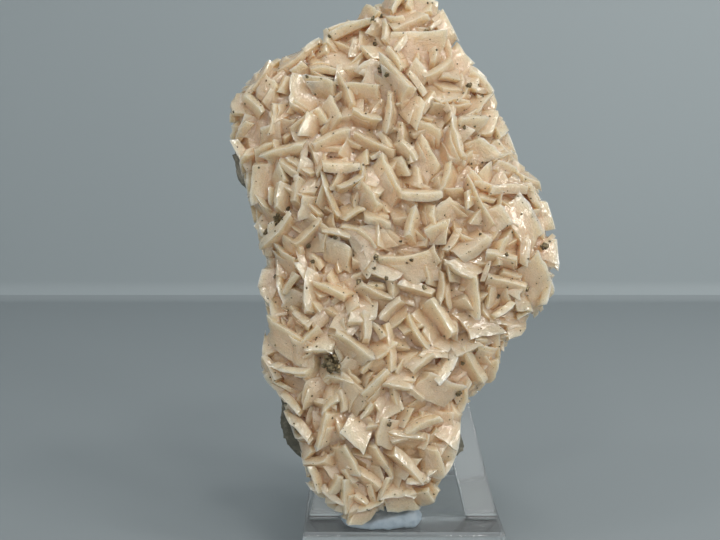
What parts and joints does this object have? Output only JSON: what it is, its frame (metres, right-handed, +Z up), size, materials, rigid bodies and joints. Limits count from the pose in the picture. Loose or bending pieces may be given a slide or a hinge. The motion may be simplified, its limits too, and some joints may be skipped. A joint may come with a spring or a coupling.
{
  "type": "dolomite mineral specimen",
  "caption": "Slab of dark rock covered with a druse of pale saddle-shaped dolomite crystals, leaning upright on a clear two-post stand with a pad of putty.",
  "frame": {"origin": "middle of the stand's flat underside", "axes": "+Z up, +X to the right seen from the front; the crystal face looks along -Y and leans back 10 degrees"},
  "size_m": [0.0856, 0.057, 0.1434],
  "materials": {
    "dolomite": "translucent pinkish cream with pearly faces and warm tan hollows",
    "rock": "rough broken dark grey rock",
    "sulphide": "dark brassy grains with small bright faces",
    "clear_acrylic": "clear and polished",
    "putty": "dull light blue-grey"
  },
  "bodies": {
    "root": {"dolomite_crust": "dolomite", "rock_matrix": "rock", "sulphide_main": "sulphide", "sulphide_left": "sulphide", "sulphide_top": "sulphide", "sulphide_low": "sulphide", "stand_base": "clear_acrylic", "stand_upright_left": "clear_acrylic", "stand_upright_right": "clear_acrylic", "putty": "putty"}
  },
  "joints": []
}
